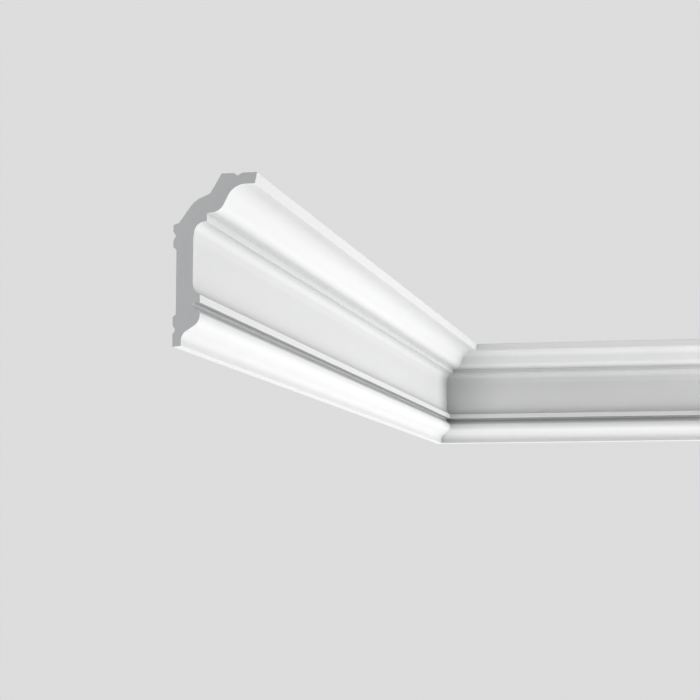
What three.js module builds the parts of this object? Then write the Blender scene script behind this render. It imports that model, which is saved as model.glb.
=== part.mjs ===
// Cornice moulding for the inside corner of a room: a long length on the side wall and a short length on the
// back wall, mitred where they meet. Both have one section, cast with three grooves that key the adhesive.
// Millimetres. +X runs out from the side wall, +Y along the long length towards the corner, +Z up.
// The origin lies on the side wall at mid-length, on the flat strip of the lower bonding pad.

import * as THREE from 'three';

// Overall sizes
const height = 170;
const projection = 84.5;
const sideLength = 1620;
const backLength = 475;
const mitreGap = 0.3;

// Depths of the front, measured out from the wall
const footDepth = 8.5;
const noseDepth = 27.5;
const friezeDepth = 20.2;
const filletDepth = 33.9;

// Levels of the front, measured up from the lower edge
const undersideRise = 0.9;
const ogeeFoot = 12;
const noseTop = 33.15;
const bandBottom = 43.3;
const bandTop = 50.8;
const lowerCoveLevel = 56;
const leadInLevel = 105.5;
const filletBottom = 123.1;
const filletTop = 130.9;
const lipBottom = 159;

// Slopes and radii of the curved mouldings
const ogeeSlope = THREE.MathUtils.degToRad(32.6);
const ogeeRadius = 12;
const noseRadius = 4;
const quirkSlope = THREE.MathUtils.degToRad(43);
const quirkRadius = 2.1;
const lowerCoveRadius = 11;
const leadInRadius = 40;
const leadInOut = 2.2;
const upperCoveRadius = 11.5;
const crownFoot = { depth: 47.6, rise: 2, radius: 14 };
const crownTop = { depth: 60.9, radius: 20.2 };
const lipLean = 2.2;

// Bonding faces and the hollow back
const groove = { halfWidth: 4.4, depth: 2.7, edgeRadius: 2 };
const topGrooveDepth = 65;
const topBackDepth = 48.7;
const upperGrooveLevel = 109.6;
const lowerGrooveLevel = 16.7;
const upperPad = { bottom: 98.7, top: 120.6 };
const lowerPadTop = 29.1;
const padRadius = 1.5;
const recess = { depth: 3.2, step: 3, radius: 1 };
const ledge = { depth: 5.6, rise: 1.7, radius: 1.2 };
const shoulder = { depth: 21.5, level: 144.1, radius: 24 };
const hollow = { depth: 37.1, level: 150.4, radius: 6 };
const stripMiddle = 6;

const arcSegments = 4;

const corner = (x, y, radius = 0) => ({ point: new THREE.Vector2(x, y), radius });

// Cyma at the foot: a hollow that rises from the foot, a slope and a round nose that turns in to the quirk.
function lowerOgee() {
  const noseLevel = ogeeFoot + (noseDepth - footDepth) * Math.tan(ogeeSlope);
  const quirkDepth = noseDepth - (bandBottom - noseTop) / Math.tan(quirkSlope);
  return [
    corner(0, 0),
    corner(footDepth, undersideRise),
    corner(footDepth, ogeeFoot, ogeeRadius),
    corner(noseDepth, noseLevel, ogeeRadius),
    corner(noseDepth, noseTop, noseRadius),
    corner(quirkDepth, bandBottom, quirkRadius),
  ];
}

// Flat band, a cove up to the plain frieze, and a second cove out to the upper fillet.
function bandAndFrieze() {
  return [
    corner(noseDepth, bandBottom),
    corner(noseDepth, bandTop),
    corner(friezeDepth, lowerCoveLevel, lowerCoveRadius),
    corner(friezeDepth, leadInLevel, leadInRadius),
    corner(friezeDepth + leadInOut, filletBottom, upperCoveRadius),
    corner(filletDepth, filletBottom),
    corner(filletDepth, filletTop),
  ];
}

// Crown: a round foot, a steep slope and a wide hollow under the lip that meets the ceiling.
function crown() {
  return [
    corner(crownFoot.depth, filletTop + crownFoot.rise, crownFoot.radius),
    corner(crownTop.depth, lipBottom, crownTop.radius),
    corner(projection - lipLean, lipBottom),
    corner(projection, height),
  ];
}

// Face against the ceiling, with its groove.
function ceilingFace() {
  return [
    corner(topGrooveDepth + groove.halfWidth, height, groove.edgeRadius),
    corner(topGrooveDepth, height - groove.depth),
    corner(topGrooveDepth - groove.halfWidth, height, groove.edgeRadius),
    corner(topBackDepth, height),
  ];
}

// Groove in a wall pad, followed downwards.
function wallGroove(level) {
  return [
    corner(0, level + groove.halfWidth, groove.edgeRadius),
    corner(groove.depth, level),
    corner(0, level - groove.halfWidth, groove.edgeRadius),
  ];
}

// Back: the hollow behind the crown, a ledge, and two pads on the wall with a recess between them.
function back() {
  return [
    corner(hollow.depth, hollow.level, hollow.radius),
    corner(shoulder.depth, shoulder.level, shoulder.radius),
    corner(ledge.depth, upperPad.top + ledge.rise, ledge.radius),
    corner(0, upperPad.top, padRadius),
    ...wallGroove(upperGrooveLevel),
    corner(0, upperPad.bottom, padRadius),
    corner(recess.depth, upperPad.bottom - recess.step, recess.radius),
    corner(recess.depth, lowerPadTop + recess.step, recess.radius),
    corner(0, lowerPadTop, padRadius),
    ...wallGroove(lowerGrooveLevel),
  ];
}

// Outline through the corners, each one rounded by an arc that touches both of its sides.
function roundedOutline(corners) {
  const shape = new THREE.Shape();
  shape.moveTo(corners[0].point.x, corners[0].point.y);
  corners.slice(1).forEach(({ point, radius }, i) => {
    if (radius === 0) {
      shape.lineTo(point.x, point.y);
      return;
    }
    const next = corners[(i + 2) % corners.length].point;
    const arriving = point.clone().sub(corners[i].point).normalize();
    const leaving = next.clone().sub(point).normalize();
    const turn = Math.atan2(arriving.cross(leaving), arriving.dot(leaving));
    const side = Math.sign(turn);
    const start = point.clone().addScaledVector(arriving, -radius * Math.tan(Math.abs(turn) / 2));
    const centre = new THREE.Vector2(-arriving.y, arriving.x).multiplyScalar(side * radius).add(start);
    const from = start.clone().sub(centre).angle();
    shape.absarc(centre.x, centre.y, radius, from, from + turn, turn < 0);
  });
  shape.closePath();
  return shape;
}

const section = roundedOutline([
  ...lowerOgee(),
  ...bandAndFrieze(),
  ...crown(),
  ...ceilingFace(),
  ...back(),
]);

// One length of the moulding, drawn along +Z. The end at mitredEnd is cut at 45 degrees: each of its points is
// drawn back by its own depth from the wall, and by its share of the gap.
function mouldingLength(length, mitredEnd) {
  const geometry = new THREE.ExtrudeGeometry(section, {
    depth: length,
    bevelEnabled: false,
    curveSegments: arcSegments,
  });
  const points = geometry.attributes.position;
  const inward = mitredEnd === 0 ? 1 : -1;
  for (let i = 0; i < points.count; i += 1) {
    if (points.getZ(i) === mitredEnd) {
      points.setZ(i, mitredEnd + inward * (points.getX(i) + mitreGap * Math.SQRT1_2));
    }
  }
  geometry.computeVertexNormals();
  return geometry;
}

const primer = () => new THREE.MeshStandardMaterial({ color: 0xf1f1ef, roughness: 0.55, metalness: 0 });

const cornice = new THREE.Group();
cornice.position.set(0, sideLength / 2, -stripMiddle);

const sideWallLength = new THREE.Mesh(mouldingLength(sideLength, 0), primer());
sideWallLength.name = 'side_wall_length';
sideWallLength.rotation.x = Math.PI / 2;
cornice.add(sideWallLength);

const backWallLength = new THREE.Mesh(mouldingLength(backLength, backLength), primer());
backWallLength.name = 'back_wall_length';
backWallLength.rotation.x = Math.PI / 2;

const backWallRun = new THREE.Group();
backWallRun.position.x = backLength;
backWallRun.rotation.z = -Math.PI / 2;
backWallRun.add(backWallLength);
cornice.add(backWallRun);

export default cornice;
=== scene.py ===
"""Cornice moulding for an inside corner: two mitred lengths with primed fronts, cast backs and sawn ends."""

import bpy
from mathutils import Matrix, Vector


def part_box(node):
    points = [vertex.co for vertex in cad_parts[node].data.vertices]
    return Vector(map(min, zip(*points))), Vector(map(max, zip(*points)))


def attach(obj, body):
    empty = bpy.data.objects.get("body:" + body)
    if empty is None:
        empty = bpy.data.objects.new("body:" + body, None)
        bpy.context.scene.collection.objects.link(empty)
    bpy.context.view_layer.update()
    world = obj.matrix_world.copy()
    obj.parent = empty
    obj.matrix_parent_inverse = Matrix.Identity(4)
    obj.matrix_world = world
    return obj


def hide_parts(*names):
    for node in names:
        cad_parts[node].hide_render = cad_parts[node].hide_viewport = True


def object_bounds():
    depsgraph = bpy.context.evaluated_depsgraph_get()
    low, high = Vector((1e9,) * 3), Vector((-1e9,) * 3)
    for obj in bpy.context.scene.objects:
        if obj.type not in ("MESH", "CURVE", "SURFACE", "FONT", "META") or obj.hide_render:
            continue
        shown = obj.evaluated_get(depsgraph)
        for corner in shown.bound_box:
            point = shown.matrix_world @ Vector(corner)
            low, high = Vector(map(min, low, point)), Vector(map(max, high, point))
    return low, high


bl_info = {
    "name": "Cornice Moulding",
    "version": (1, 0, 0),
    "blender": (4, 5, 0),
    "location": "3D View > Sidebar > Cornice",
    "description": "Makes a mitred cornice moulding for an inside corner and the stage that shows it",
    "category": "Add Mesh",
}

import math
from collections import namedtuple

import bmesh
import bpy
from mathutils import Matrix, Vector

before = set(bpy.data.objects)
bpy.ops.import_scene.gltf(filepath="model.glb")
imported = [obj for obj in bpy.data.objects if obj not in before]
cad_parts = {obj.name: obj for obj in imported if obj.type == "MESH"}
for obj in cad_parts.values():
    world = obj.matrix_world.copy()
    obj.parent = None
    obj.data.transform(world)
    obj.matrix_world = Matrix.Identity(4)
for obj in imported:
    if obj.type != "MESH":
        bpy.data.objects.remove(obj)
CAD_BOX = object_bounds()

SIDE_NODE = "side_wall_length"
BACK_NODE = "back_wall_length"
SIDE_LOW, SIDE_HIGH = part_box(SIDE_NODE)
BACK_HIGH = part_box(BACK_NODE)[1]

MM = 0.001
QUARTER_TURN = math.radians(90)
WHITE = (1, 1, 1)

# Material slots of a length, whose faces all start out in the first one
PRIMED, CAST, SAWN = range(3)

# Places of the colour sockets among those of a Mix node
MIX_FIRST, MIX_SECOND, MIX_RESULT = 6, 7, 2

# Rows of faces across an arris that is rubbed off a sawn end
ARRIS_SEGMENTS = 2


def metres(name, value, description):
    """A length given in metres."""
    return bpy.props.FloatProperty(
        name=name, description=description, default=value, unit='LENGTH', precision=5)


def length(name, millimetres, description):
    """A length given in millimetres."""
    return metres(name, millimetres * MM, description)


def angle(name, degrees, description):
    """An angle given in degrees."""
    return bpy.props.FloatProperty(
        name=name, description=description, default=math.radians(degrees), subtype='ANGLE', unit='ROTATION')


def share(name, value, description):
    """A number from nought to one."""
    return bpy.props.FloatProperty(
        name=name, description=description, default=value, min=0, max=1, subtype='FACTOR')


def amount(name, value, description):
    """A plain number of nought or more."""
    return bpy.props.FloatProperty(name=name, description=description, default=value, min=0)


def power(name, watts, description):
    """The power of a light."""
    return bpy.props.FloatProperty(name=name, description=description, default=watts, min=0, unit='POWER')


def optic(name, millimetres, description):
    """A length inside the camera, given in millimetres and kept in them."""
    return bpy.props.FloatProperty(name=name, description=description, default=millimetres, unit='CAMERA')


def colour(name, value, description):
    """A colour, in linear light."""
    return bpy.props.FloatVectorProperty(
        name=name, description=description, default=value, size=3, min=0, max=1, subtype='COLOR')


def place(name, value, description):
    """A point, or the way from one point to another, in metres."""
    return bpy.props.FloatVectorProperty(
        name=name, description=description, default=value, size=3, subtype='XYZ')


def extent(name, value, description):
    """A width and a height, in metres."""
    return bpy.props.FloatVectorProperty(
        name=name, description=description, default=value, size=2, min=0, unit='LENGTH')


class CorniceSection(bpy.types.PropertyGroup):
    """Sizes of the section: depths are measured out from the wall, levels up from the lower edge."""

    height: metres("Height", SIDE_HIGH.z - SIDE_LOW.z, "From the lower edge to the ceiling")
    projection: metres("Projection", SIDE_HIGH.x - SIDE_LOW.x, "From the wall to the front of the lip")
    arris: length("Arris", 0.4, "Radius of the arrises that have no moulding of their own")
    sagitta: length("Sagitta", 0.004, "How far the facets of an arc may stray from it")

    foot_depth: length("Foot depth", 8.5, "Depth of the plain foot")
    underside_rise: length("Underside rise", 0.9, "How far the underside rises towards the front")
    ogee_foot: length("Ogee foot", 12, "Level where the hollow of the lower ogee leaves the foot")
    ogee_slope: angle("Ogee slope", 32.6, "Rise of the lower ogee between its hollow and its nose")
    ogee_radius: length("Ogee radius", 12, "Radius of both bends of the lower ogee")
    nose_depth: length("Nose depth", 27.5, "Depth of the nose and of the band above it")
    nose_top: length("Nose top", 33.15, "Level where the nose turns in to the quirk")
    nose_radius: length("Nose radius", 4, "Radius at the top of the nose")
    quirk_slope: angle("Quirk slope", 43, "Slope of the quirk's lower side")
    quirk_radius: length("Quirk radius", 2.1, "Radius at the bottom of the quirk")
    band_bottom: length("Band bottom", 43.3, "Level of the band's lower arris")
    band_top: length("Band top", 50.8, "Level of the band's upper arris")

    frieze_depth: length("Frieze depth", 20.2, "Depth of the plain frieze")
    lower_cove_level: length("Lower cove level", 56, "Level where the cove above the band meets the frieze")
    lower_cove_radius: length("Lower cove radius", 11, "Radius of the cove above the band")
    lead_in_level: length("Lead-in level", 105.5, "Level where the frieze starts to lean out")
    lead_in_out: length("Lead-in", 2.2, "How far the frieze has leant out at the fillet's level")
    lead_in_radius: length("Lead-in radius", 40, "Radius where the frieze starts to lean out")
    upper_cove_radius: length("Upper cove radius", 11.5, "Radius of the cove under the fillet")

    fillet_depth: length("Fillet depth", 33.9, "Depth of the upper fillet")
    fillet_bottom: length("Fillet bottom", 123.1, "Level of the upper fillet's lower arris")
    fillet_top: length("Fillet top", 130.9, "Level where the crown springs from the upper fillet")
    crown_foot_depth: length("Crown foot depth", 47.6, "Depth of the bend at the crown's foot")
    crown_foot_rise: length("Crown foot rise", 2, "Rise of the crown's foot from the fillet to the bend")
    crown_foot_radius: length("Crown foot radius", 14, "Radius of the bend at the crown's foot")
    crown_top_depth: length("Crown top depth", 60.9, "Depth of the hollow at the crown's top")
    crown_top_radius: length("Crown top radius", 20.2, "Radius of the hollow at the crown's top")
    lip_bottom: length("Lip bottom", 159, "Level of the lip's lower arris")
    lip_lean: length("Lip lean", 2.2, "How far the lip leans out between its lower arris and the ceiling")

    groove_half_width: length("Groove half width", 4.4, "Half the mouth of a groove for adhesive")
    groove_depth: length("Groove depth", 2.7, "Depth of a groove for adhesive")
    groove_radius: length("Groove radius", 2, "Radius at the mouth of a groove")
    top_groove_depth: length("Ceiling groove", 65, "Depth from the wall of the groove against the ceiling")
    top_back_depth: length("Ceiling face back", 48.7, "Depth where the ceiling face ends at the hollow")
    upper_groove_level: length("Upper wall groove", 109.6, "Level of the groove in the upper wall pad")
    lower_groove_level: length("Lower wall groove", 16.7, "Level of the groove in the lower wall pad")
    upper_pad_top: length("Upper pad top", 120.6, "Level of the top of the upper wall pad")
    upper_pad_bottom: length("Upper pad bottom", 98.7, "Level of the bottom of the upper wall pad")
    lower_pad_top: length("Lower pad top", 29.1, "Level of the top of the lower wall pad")
    pad_radius: length("Pad radius", 1.5, "Radius at the edges of the wall pads")
    recess_depth: length("Recess depth", 3.2, "Depth of the recess between the wall pads")
    recess_step: length("Recess step", 3, "Height of the slope from a pad to the recess")
    recess_radius: length("Recess radius", 1, "Radius at the corners of the recess")
    ledge_depth: length("Ledge depth", 5.6, "Depth of the ledge above the upper wall pad")
    ledge_rise: length("Ledge rise", 1.7, "Rise of the ledge from the pad to the hollow")
    ledge_radius: length("Ledge radius", 1.2, "Radius where the ledge meets the hollow")
    shoulder_depth: length("Shoulder depth", 21.5, "Depth of the shoulder in the hollow back")
    shoulder_level: length("Shoulder level", 144.1, "Level of the shoulder in the hollow back")
    shoulder_radius: length("Shoulder radius", 24, "Radius of the shoulder in the hollow back")
    hollow_depth: length("Hollow depth", 37.1, "Depth of the deepest bend behind the crown")
    hollow_level: length("Hollow level", 150.4, "Level of the deepest bend behind the crown")
    hollow_radius: length("Hollow radius", 6, "Radius of the deepest bend behind the crown")


class CorniceLengths(bpy.types.PropertyGroup):
    """How long the two lengths are and how their ends are cut."""

    side: metres("Side wall", SIDE_HIGH.y - SIDE_LOW.y, "Length along the side wall, to the corner")
    back: metres("Back wall", BACK_HIGH.x - SIDE_LOW.x, "Length along the back wall, from the corner")
    spare: length("Spare", 20, "How far a length is drawn past the corner before it is mitred")
    cut_arris: length("Cut arris", 0.25, "Width of the arris that is rubbed off the edge of a sawn end")
    crease: angle("Crease", 40, "Edges that turn more than this are kept sharp")


class CorniceFinish(bpy.types.PropertyGroup):
    """Colours and surfaces of the primed front, the cast back and the sawn ends."""

    primer: colour("Primer", (0.78, 0.783, 0.78), "White primer on the front")
    # Grey that the primer is mottled towards at random, and darkened towards as painted shade in recesses
    primer_shade_and_mottle: colour("Primer painted shade and mottle", (0.42, 0.425, 0.43), "Grey that the primer is mottled towards and darkened to as painted shade in recesses")
    # Painted shade: how far the ambient occlusion looks when it darkens the primer in recesses
    painted_shade_reach: length("Painted shade reach", 100, "Recesses narrower than this get painted shade on the primer")
    primer_roughness: share("Primer roughness", 0.50, "Roughness of the silky primer")
    primer_spread: share("Primer spread", 0.08, "How much the primer's roughness varies")
    primer_shine: share("Primer shine", 0.4, "Specular level of the primer")
    mottle_count: amount("Mottles", 11, "Mottles of the primer to the metre")
    mottle_thinning: share("Mottle thinning", 0.06, "How much thinner the primer is where it is mottled")
    primer_peel: length("Primer peel", 0.005, "Height of the faint orange peel of the sprayed primer")
    peel_count: amount("Peel waves", 380, "Waves of the orange peel to the metre")

    cast: colour("Cast skin", (0.80, 0.80, 0.785), "Unpainted skin of the casting on the back")
    cast_worn: colour("Worn cast skin", (0.70, 0.70, 0.69), "Cast skin where the mould has marked it")
    cast_roughness: share("Cast roughness", 0.66, "Roughness of the unpainted skin")
    cast_spread: share("Cast spread", 0.16, "How much the roughness of the unpainted skin varies")
    cast_shine: share("Cast shine", 0.4, "Specular level of the unpainted skin")
    mark_count: amount("Mould marks", 24, "Cloudy marks of the mould to the metre")
    mark_share: share("Mould mark share", 0.75, "Share of the cloudy marks in the wear, the rest being grain")
    grain_count: amount("Grains", 700, "Grains of the unpainted skin to the metre")
    grain_height: share("Grain height", 0.4, "Height of the grain as a share of the pits' depth")
    cast_pits: length("Cast pits", 0.08, "Depth of the small pits in the unpainted skin")
    pit_count: amount("Pits", 260, "Small pits to the metre")

    core: colour("Core", (0.50, 0.508, 0.512), "Grey core that shows on the sawn ends")
    core_dark: colour("Core cells", (0.43, 0.438, 0.442), "Open cells in the grey core")
    core_roughness: share("Core roughness", 0.85, "Roughness of the sawn core")
    core_spread: share("Core spread", 0.12, "How much the roughness of the sawn core varies")
    core_shine: share("Core shine", 0.25, "Specular level of the sawn core")
    core_cells: length("Core cell depth", 0.06, "Depth of the open cells and saw marks")
    cell_count: amount("Core cell count", 1300, "Cells of the core to the metre")
    cell_tone: share("Cell tone", 0.45, "Share of the cells in the core's tone")
    cell_relief: share("Cell relief", 0.6, "Share of the cells in the relief, the rest being saw marks")
    stroke_count: amount("Saw marks", 900, "Marks of the saw to the metre")
    stroke_narrowness: share("Saw mark narrowness", 0.03, "Width of a saw mark as a share of its height")
    stroke_tone: share("Saw mark tone", 0.3, "Share of the saw marks in the core's tone")
    core_cloud_count: amount("Core clouds", 60, "Clouds to the metre, which are the rest of the core's tone")


class CorniceStage(bpy.types.PropertyGroup):
    """Floor, light and camera."""

    floor_drop: metres("Floor drop", 2.36, "How far the floor lies below the origin")
    floor_reach: metres("Floor reach", 70, "Half the width of the floor")
    floor_colour: colour("Floor", (0.86, 0.86, 0.86), "Pale floor")
    floor_roughness: share("Floor roughness", 0.9, "Roughness of the floor")
    floor_glow: share("Floor glow", 0.555, "Light that the floor throws up, as a light table does")
    backdrop: colour("Backdrop", (0.79, 0.79, 0.79), "Floor and background as the camera sees them")
    ambient: amount("Ambient", 0.435, "Even light from all around")
    contrast: amount("Contrast", 1.4, "How much the picture deepens the shade")

    key: power("Key light", 32, "Soft light high on the right")
    key_from: place("Key light place", (2.8, 0.1, 0.7), "From the part's middle to the key light")
    key_size: extent("Key light size", (1.6, 1.0), "Width and height of the key light")
    low: power("Low light", 14, "Soft light low on the right")
    low_from: place("Low light place", (2.4, 0, -1.4), "From the part's middle to the low light")
    low_size: extent("Low light size", (1.6, 1.0), "Width and height of the low light")
    lift: power("Lift light", 5, "Soft light under the corner")
    lift_from: place("Lift light place", (0.5, 0.6, -2), "From the part's middle to the lift light")
    lift_size: extent("Lift light size", (1.4, 1.0), "Width and height of the lift light")
    end: power("End light", 5.3, "Small soft light before the sawn end of the long length")
    end_from: place("End light place", (-0.45, -0.95, 0.05), "From the sawn end to the end light")
    end_size: extent("End light size", (0.4, 0.4), "Width and height of the end light")
    rear: power("Rear light", 40, "Soft light high behind the corner")
    rear_from: place("Rear light place", (-1.9, 1.6, 1.9), "From the part's middle to the rear light")
    rear_size: extent("Rear light size", (2.4, 1.6), "Width and height of the rear light")

    lens: optic("Lens", 98.42, "Focal length of the camera")
    sensor: optic("Sensor", 36, "Width of the camera's sensor")
    camera_place: place("Camera", (0.550, -2.592, -0.212), "Where the camera stands")
    camera_pitch: angle("Camera pitch", 6.237, "How far the camera looks up")
    camera_yaw: angle("Camera yaw", 11.813, "How far the camera turns left from the long length's direction")


Corner = namedtuple("Corner", "point radius")


def corner(depth, level, radius=0):
    """A corner of the section's outline, with the radius of the arc that rounds it."""
    return Corner(Vector((depth, level)), radius)


def lower_ogee(sizes):
    """Cyma at the foot: a hollow that rises from the foot, a slope and a nose that turns in to the quirk."""
    nose_level = sizes.ogee_foot + (sizes.nose_depth - sizes.foot_depth) * math.tan(sizes.ogee_slope)
    quirk_depth = sizes.nose_depth - (sizes.band_bottom - sizes.nose_top) / math.tan(sizes.quirk_slope)
    return [
        corner(0, 0),
        corner(sizes.foot_depth, sizes.underside_rise),
        corner(sizes.foot_depth, sizes.ogee_foot, sizes.ogee_radius),
        corner(sizes.nose_depth, nose_level, sizes.ogee_radius),
        corner(sizes.nose_depth, sizes.nose_top, sizes.nose_radius),
        corner(quirk_depth, sizes.band_bottom, sizes.quirk_radius),
    ]


def band_and_frieze(sizes):
    """Flat band, a cove up to the plain frieze and a second cove out to the upper fillet."""
    return [
        corner(sizes.nose_depth, sizes.band_bottom),
        corner(sizes.nose_depth, sizes.band_top),
        corner(sizes.frieze_depth, sizes.lower_cove_level, sizes.lower_cove_radius),
        corner(sizes.frieze_depth, sizes.lead_in_level, sizes.lead_in_radius),
        corner(sizes.frieze_depth + sizes.lead_in_out, sizes.fillet_bottom, sizes.upper_cove_radius),
        corner(sizes.fillet_depth, sizes.fillet_bottom),
        corner(sizes.fillet_depth, sizes.fillet_top),
    ]


def crown(sizes):
    """A round foot, a steep slope and a wide hollow under the lip that meets the ceiling."""
    return [
        corner(sizes.crown_foot_depth, sizes.fillet_top + sizes.crown_foot_rise, sizes.crown_foot_radius),
        corner(sizes.crown_top_depth, sizes.lip_bottom, sizes.crown_top_radius),
        corner(sizes.projection - sizes.lip_lean, sizes.lip_bottom),
        corner(sizes.projection, sizes.height),
    ]


def ceiling_face(sizes):
    """Face against the ceiling, with its groove."""
    return [
        corner(sizes.top_groove_depth + sizes.groove_half_width, sizes.height, sizes.groove_radius),
        corner(sizes.top_groove_depth, sizes.height - sizes.groove_depth),
        corner(sizes.top_groove_depth - sizes.groove_half_width, sizes.height, sizes.groove_radius),
        corner(sizes.top_back_depth, sizes.height),
    ]


def wall_groove(sizes, level):
    """Groove in a wall pad, followed downwards."""
    return [
        corner(0, level + sizes.groove_half_width, sizes.groove_radius),
        corner(sizes.groove_depth, level),
        corner(0, level - sizes.groove_half_width, sizes.groove_radius),
    ]


def hollow_back(sizes):
    """Hollow behind the crown, a ledge, and two pads on the wall with a recess between them."""
    return [
        corner(sizes.hollow_depth, sizes.hollow_level, sizes.hollow_radius),
        corner(sizes.shoulder_depth, sizes.shoulder_level, sizes.shoulder_radius),
        corner(sizes.ledge_depth, sizes.upper_pad_top + sizes.ledge_rise, sizes.ledge_radius),
        corner(0, sizes.upper_pad_top, sizes.pad_radius),
        *wall_groove(sizes, sizes.upper_groove_level),
        corner(0, sizes.upper_pad_bottom, sizes.pad_radius),
        corner(sizes.recess_depth, sizes.upper_pad_bottom - sizes.recess_step, sizes.recess_radius),
        corner(sizes.recess_depth, sizes.lower_pad_top + sizes.recess_step, sizes.recess_radius),
        corner(0, sizes.lower_pad_top, sizes.pad_radius),
        *wall_groove(sizes, sizes.lower_groove_level),
    ]


def only(kind, geometry):
    """The elements of one kind, such as vertices, out of mixed geometry."""
    return [element for element in geometry if isinstance(element, kind)]


def in_section(point):
    """A point of the section's plane: depth along X and level along Z."""
    return Vector((point.x, 0, point.y))


def rounding(before, here, after, arris):
    """Start, middle, radius and turn of the arc that rounds a corner and touches both of its sides."""
    arriving = (here.point - before.point).normalized()
    leaving = (after.point - here.point).normalized()
    turn = math.atan2(arriving.cross(leaving), arriving.dot(leaving))
    radius = max(here.radius, arris)
    start = here.point - arriving * radius * math.tan(abs(turn) / 2)
    middle = start + Vector((-arriving.y, arriving.x)) * math.copysign(radius, turn)
    return start, middle, radius, turn


def draw_section(bm, sizes):
    """Draw the section as a closed wire, fill it, and return the face and the wire's edges on the back."""
    front = lower_ogee(sizes) + band_and_frieze(sizes) + crown(sizes)
    corners = front + ceiling_face(sizes) + hollow_back(sizes)
    first = pen = None
    back_edges = []
    for i, here in enumerate(corners):
        before = corners[i - 1]
        after = corners[(i + 1) % len(corners)]
        start, middle, radius, turn = rounding(before, here, after, sizes.arris)
        drawn = set(bm.edges)
        if pen is None:
            first = pen = bmesh.ops.create_vert(bm, co=in_section(start))["vert"][0]
        else:
            pen = bmesh.ops.extrude_vert_indiv(bm, verts=[pen])["verts"][0]
            pen.co = in_section(start)
        step = 2 * math.acos(1 - sizes.sagitta / radius)
        spun = bmesh.ops.spin(
            bm, geom=[pen], cent=in_section(middle), axis=(0, -1, 0), angle=turn,
            steps=math.ceil(abs(turn) / step))
        pen = only(bmesh.types.BMVert, spun["geom_last"])[0]
        if i >= len(front):
            back_edges += [edge for edge in bm.edges if edge not in drawn]
    back_edges += bmesh.ops.contextual_create(bm, geom=[pen, first])["edges"]
    face = bmesh.ops.contextual_create(bm, geom=bm.edges[:])["faces"][0]
    return face, back_edges


def drawn_length(sizes, cuts, reach, run):
    """One length of the moulding along Y, mitred in the corner at the origin and sawn square at the end.
    run is 1 where it runs towards +Y and -1 where it runs towards -Y."""
    bm = bmesh.new()
    section, back_edges = draw_section(bm, sizes)
    bmesh.ops.translate(bm, verts=bm.verts, vec=(0, run * reach, 0))
    rim = section.edges[:]
    far = bmesh.ops.extrude_face_region(bm, geom=[section])["geom"]
    far_verts = only(bmesh.types.BMVert, far)
    bmesh.ops.translate(bm, verts=far_verts, vec=(0, -run * (reach + cuts.spare), 0))
    for edge in back_edges:
        for face in edge.link_faces:
            face.material_index = CAST
    section.material_index = SAWN
    rubbed = bmesh.ops.bevel(
        bm, geom=rim, offset=cuts.cut_arris, offset_type='OFFSET', segments=ARRIS_SEGMENTS, profile=0.5,
        affect='EDGES', material=-1, clamp_overlap=True)
    for face in rubbed["faces"]:
        face.material_index = SAWN
    whole = bm.verts[:] + bm.edges[:] + bm.faces[:]
    mitre = bmesh.ops.bisect_plane(
        bm, geom=whole, plane_co=(0, 0, 0), plane_no=(1, -run, 0), clear_outer=True)
    open_edges = only(bmesh.types.BMEdge, mitre["geom_cut"])
    for face in bmesh.ops.holes_fill(bm, edges=open_edges, sides=0)["faces"]:
        face.material_index = SAWN
    bmesh.ops.recalc_face_normals(bm, faces=bm.faces)
    return bm


def add_object(name, data):
    """Put an object with this data into the scene."""
    made = bpy.data.objects.new(name, data)
    bpy.context.scene.collection.objects.link(made)
    return made


def add_mesh(bm, name):
    """Put an object with the mesh of a bmesh into the scene."""
    mesh = bpy.data.meshes.new(name)
    bm.to_mesh(mesh)
    bm.free()
    return add_object(name, mesh)


def finish_mesh(bm, name, crease):
    """Turn a closed bmesh into a piece with smooth faces and sharp creases."""
    for face in bm.faces:
        face.smooth = True
    for edge in bm.edges:
        edge.smooth = edge.calc_face_angle() < crease
    piece = add_mesh(bm, name)
    even = piece.modifiers.new("even_normals", 'WEIGHTED_NORMAL')
    even.mode = 'FACE_AREA'
    even.keep_sharp = True
    return piece


class Wire:
    """A socket of a node tree. Sums, differences and products of wires add their Math nodes."""

    def __init__(self, tree, socket=None):
        self.tree = tree
        self.socket = socket

    def node(self, kind, settings=None, sockets=None):
        """Add a node, set its settings, fill its sockets with values or wires, and give its first output."""
        made = self.tree.nodes.new(kind)
        for name, value in (settings or {}).items():
            setattr(made, name, value)
        for name, value in (sockets or {}).items():
            if isinstance(value, Wire):
                self.tree.links.new(value.socket, made.inputs[name])
            else:
                made.inputs[name].default_value = value
        return Wire(self.tree, made.outputs[0] if made.outputs else None)

    def output(self, name):
        """Another output of the same node."""
        return Wire(self.tree, self.socket.node.outputs[name])

    def maths(self, operation, first, second):
        """The result of a Math node on two wires or numbers."""
        return self.node("ShaderNodeMath", {"operation": operation}, {0: first, 1: second})

    def __add__(self, other):
        return self.maths('ADD', self, other)

    def __radd__(self, other):
        return self.maths('ADD', other, self)

    def __sub__(self, other):
        return self.maths('SUBTRACT', self, other)

    def __rsub__(self, other):
        return self.maths('SUBTRACT', other, self)

    def __mul__(self, other):
        return self.maths('MULTIPLY', self, other)

    def __rmul__(self, other):
        return self.maths('MULTIPLY', other, self)


def bare_nodes(data):
    """Empty the node tree of a material or a world, and return a wire to build its nodes with."""
    data.use_nodes = True
    data.node_tree.nodes.clear()
    return Wire(data.node_tree)


def new_material(name):
    """An empty material, and a wire to build its nodes with."""
    material = bpy.data.materials.new(name)
    return material, bare_nodes(material)


def opaque(shade):
    """A colour with full alpha, as a socket takes it."""
    return (*shade, 1)


def object_place(wire):
    """Coordinates of the object, in metres."""
    return wire.node("ShaderNodeTexCoord").output("Object")


def noise(wire, where, count, detail):
    """Noise from nought to one, with so many waves to the metre."""
    return wire.node("ShaderNodeTexNoise", None, {"Vector": where, "Scale": count, "Detail": detail})


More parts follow.
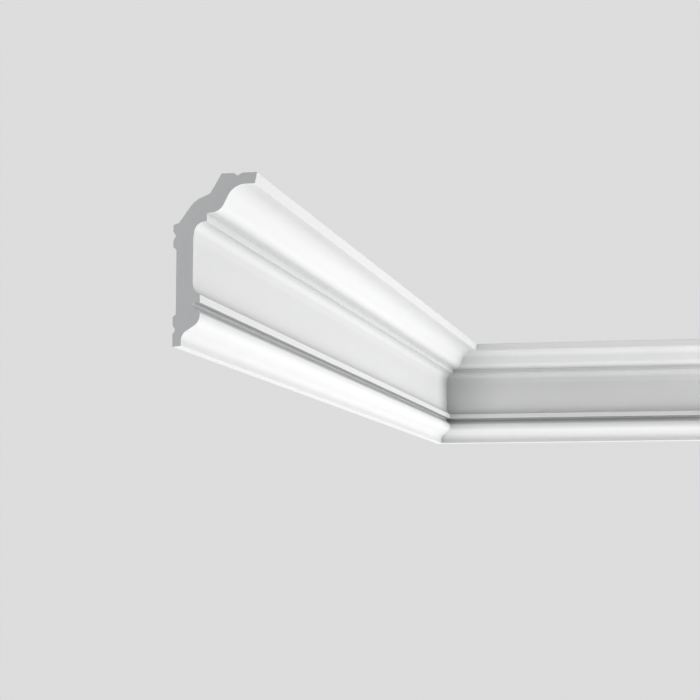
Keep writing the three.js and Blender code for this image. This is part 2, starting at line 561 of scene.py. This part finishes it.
def cells(wire, where, count):
    """How far it is to the middle of the nearest of scattered cells, with so many to the metre."""
    return wire.node("ShaderNodeTexVoronoi", None, {"Vector": where, "Scale": count})


def varied(value, spread, pattern):
    """A value that a pattern from nought to one takes up and down by half of its spread."""
    return value - spread / 2 + spread * pattern


def blend(wire, factor, first, second):
    """Colour between two colours."""
    return wire.node(
        "ShaderNodeMix", {"data_type": 'RGBA'},
        {"Factor": factor, MIX_FIRST: opaque(first), MIX_SECOND: opaque(second)}).output(MIX_RESULT)


def bump(wire, height, distance):
    """Normal of a surface with a height from nought to one over a distance in metres."""
    return wire.node("ShaderNodeBump", None, {"Distance": distance, "Height": height})


def surface(wire, sockets):
    """Principled shader with the given sockets, as the material's surface."""
    shader = wire.node("ShaderNodeBsdfPrincipled", None, sockets)
    wire.node("ShaderNodeOutputMaterial", None, {"Surface": shader})


def primed_front(finish):
    """Silky white primer, sprayed over the casting, with painted shade that darkens it in the quirk, the
    coves and the mitre.
    """
    material, wire = new_material("primed_front")
    where = object_place(wire)
    mottle = noise(wire, where, finish.mottle_count, detail=2)
    peel = noise(wire, where, finish.peel_count, detail=1)
    # Painted shade: the primer is blended towards grey where ambient occlusion finds recesses, creases and
    # the mitre between the lengths, plus a little random mottle
    ao_for_painted_shade = wire.node("ShaderNodeAmbientOcclusion", None, {"Distance": finish.painted_shade_reach}).output("AO")
    painted_shade_and_mottle = 1 - ao_for_painted_shade + finish.mottle_thinning * mottle
    surface(wire, {
        "Base Color": blend(wire, painted_shade_and_mottle, finish.primer, finish.primer_shade_and_mottle),
        "Roughness": varied(finish.primer_roughness, finish.primer_spread, mottle),
        "Specular IOR Level": finish.primer_shine,
        "Normal": bump(wire, peel, finish.primer_peel),
    })
    return material


def cast_back(finish):
    """Unpainted skin of the casting, with small pits and the marks of the mould."""
    material, wire = new_material("cast_back")
    where = object_place(wire)
    marks = noise(wire, where, finish.mark_count, detail=4)
    grain = noise(wire, where, finish.grain_count, detail=2)
    pits = cells(wire, where, finish.pit_count)
    wear = finish.mark_share * marks + (1 - finish.mark_share) * grain
    surface(wire, {
        "Base Color": blend(wire, wear, finish.cast, finish.cast_worn),
        "Roughness": varied(finish.cast_roughness, finish.cast_spread, marks),
        "Specular IOR Level": finish.cast_shine,
        "Normal": bump(wire, pits + finish.grain_height * grain, finish.cast_pits),
    })
    return material


def sawn_core(finish):
    """Grey core of fine cells that the saw has opened, with its upright marks."""
    material, wire = new_material("sawn_core")
    where = object_place(wire)
    upright = wire.node(
        "ShaderNodeMapping", None, {"Vector": where, "Scale": (1, 1, finish.stroke_narrowness)})
    strokes = noise(wire, upright, finish.stroke_count, detail=2)
    opened = cells(wire, where, finish.cell_count)
    clouds = noise(wire, where, finish.core_cloud_count, detail=3)
    cloud_tone = 1 - finish.cell_tone - finish.stroke_tone
    tone = finish.cell_tone * opened + finish.stroke_tone * strokes + cloud_tone * clouds
    relief = finish.cell_relief * opened + (1 - finish.cell_relief) * strokes
    surface(wire, {
        "Base Color": blend(wire, tone, finish.core, finish.core_dark),
        "Roughness": varied(finish.core_roughness, finish.core_spread, strokes),
        "Specular IOR Level": finish.core_shine,
        "Normal": bump(wire, relief, finish.core_cells),
    })
    return material


class CORNICE_OT_lengths(bpy.types.Operator):
    """Make the long and the short length, mitred against each other in the corner"""

    bl_idname = "cornice.lengths"
    bl_label = "Lengths"
    bl_options = {'REGISTER', 'UNDO'}

    def execute(self, context):
        sizes = context.scene.cornice_section
        cuts = context.scene.cornice_lengths
        finish = context.scene.cornice_finish
        materials = [primed_front(finish), cast_back(finish), sawn_core(finish)]
        inner_corner = Matrix.Translation((SIDE_LOW.x, SIDE_HIGH.y, SIDE_LOW.z))
        along_back_wall = inner_corner @ Matrix.Rotation(-QUARTER_TURN, 4, 'Z')
        for node, reach, run, where in (
            (SIDE_NODE, cuts.side, -1, inner_corner),
            (BACK_NODE, cuts.back, 1, along_back_wall),
        ):
            bm = drawn_length(sizes, cuts, reach, run)
            bmesh.ops.transform(bm, matrix=where, verts=bm.verts)
            if not all(edge.is_manifold for edge in bm.edges):
                raise RuntimeError(f"the mesh of {node} isn't closed")
            piece = finish_mesh(bm, f"dressed_{node}", cuts.crease)
            for material in materials:
                piece.data.materials.append(material)
            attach(piece, "root")
            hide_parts(node)
        return {'FINISHED'}


def shown_as(wire, real, shown):
    """Shader that lights the scene as one shader and shows itself to the camera as another."""
    to_camera = wire.node("ShaderNodeLightPath").output("Is Camera Ray")
    return wire.node("ShaderNodeMixShader", None, {0: to_camera, 1: real, 2: shown})


def pale_floor(stage):
    """Pale floor that gives off light of its own, shown as the even backdrop."""
    material, wire = new_material("pale_floor")
    glowing = wire.node("ShaderNodeBsdfPrincipled", None, {
        "Base Color": opaque(stage.floor_colour),
        "Roughness": stage.floor_roughness,
        "Emission Color": opaque(WHITE),
        "Emission Strength": stage.floor_glow,
    })
    even = wire.node("ShaderNodeEmission", None, {"Color": opaque(stage.backdrop)})
    wire.node("ShaderNodeOutputMaterial", None, {"Surface": shown_as(wire, glowing, even)})
    return material


def add_floor(stage):
    """Wide floor far below the moulding, which runs on into the background."""
    bm = bmesh.new()
    bmesh.ops.create_grid(bm, x_segments=1, y_segments=1, size=stage.floor_reach)
    bmesh.ops.translate(bm, verts=bm.verts, vec=(0, 0, -stage.floor_drop))
    floor = add_mesh(bm, "floor")
    floor.data.materials.append(pale_floor(stage))


def add_world(stage):
    """Even light from all around, shown as the even backdrop."""
    world = bpy.data.worlds.new("studio")
    wire = bare_nodes(world)
    around = wire.node("ShaderNodeBackground", None, {"Color": opaque(WHITE), "Strength": stage.ambient})
    even = wire.node("ShaderNodeBackground", None, {"Color": opaque(stage.backdrop)})
    wire.node("ShaderNodeOutputWorld", None, {"Surface": shown_as(wire, around, even)})
    bpy.context.scene.world = world


def add_softbox(name, watts, target, offset, size):
    """A rectangular soft light that stands off from its target, faces it and isn't seen by the camera."""
    light = bpy.data.lights.new(name, 'AREA')
    light.shape = 'RECTANGLE'
    light.size, light.size_y = size
    light.energy = watts
    softbox = add_object(name, light)
    where = target + Vector(offset)
    softbox.location = where
    softbox.rotation_euler = (target - where).to_track_quat('-Z', 'Y').to_euler()
    softbox.visible_camera = False


def add_camera(stage):
    """Camera that looks slightly up at the corner from below the moulding."""
    data = bpy.data.cameras.new("camera")
    data.lens = stage.lens
    data.sensor_width = stage.sensor
    camera = add_object("camera", data)
    camera.location = stage.camera_place
    camera.rotation_euler = (QUARTER_TURN + stage.camera_pitch, 0, stage.camera_yaw)
    bpy.context.scene.camera = camera


class CORNICE_OT_stage(bpy.types.Operator):
    """Make the floor, the soft lights and the camera"""

    bl_idname = "cornice.stage"
    bl_label = "Stage"
    bl_options = {'REGISTER', 'UNDO'}

    def execute(self, context):
        stage = context.scene.cornice_stage
        low, high = (Vector(point) for point in CAD_BOX)
        middle = (low + high) / 2
        sawn_end = Vector((SIDE_LOW.x, SIDE_LOW.y, middle.z))
        add_floor(stage)
        add_world(stage)
        add_softbox("key", stage.key, middle, stage.key_from, stage.key_size)
        add_softbox("low", stage.low, middle, stage.low_from, stage.low_size)
        add_softbox("lift", stage.lift, middle, stage.lift_from, stage.lift_size)
        add_softbox("end", stage.end, sawn_end, stage.end_from, stage.end_size)
        add_softbox("rear", stage.rear, middle, stage.rear_from, stage.rear_size)
        add_camera(stage)
        context.scene.view_settings.view_transform = 'Standard'
        context.scene.view_settings.gamma = 1 / stage.contrast
        return {'FINISHED'}


class CORNICE_PT_panel(bpy.types.Panel):
    """Cornice moulding"""

    bl_idname = "CORNICE_PT_panel"
    bl_label = "Cornice Moulding"
    bl_space_type = 'VIEW_3D'
    bl_region_type = 'UI'
    bl_category = "Cornice"

    def draw(self, context):
        for operator, settings in (
            (CORNICE_OT_lengths, ("cornice_section", "cornice_lengths", "cornice_finish")),
            (CORNICE_OT_stage, ("cornice_stage",)),
        ):
            box = self.layout.box()
            box.operator(operator.bl_idname)
            for name in settings:
                group = getattr(context.scene, name)
                for key in group.__annotations__:
                    box.prop(group, key)


SETTINGS = {
    "cornice_section": CorniceSection,
    "cornice_lengths": CorniceLengths,
    "cornice_finish": CorniceFinish,
    "cornice_stage": CorniceStage,
}
CLASSES = (*SETTINGS.values(), CORNICE_OT_lengths, CORNICE_OT_stage, CORNICE_PT_panel)


def register():
    for made in CLASSES:
        bpy.utils.register_class(made)
    for name, group in SETTINGS.items():
        setattr(bpy.types.Scene, name, bpy.props.PointerProperty(type=group))


def unregister():
    for name in SETTINGS:
        delattr(bpy.types.Scene, name)
    for made in reversed(CLASSES):
        bpy.utils.unregister_class(made)


def main():
    register()
    bpy.ops.cornice.lengths()
    bpy.ops.cornice.stage()


if __name__ == "__main__":
    main()
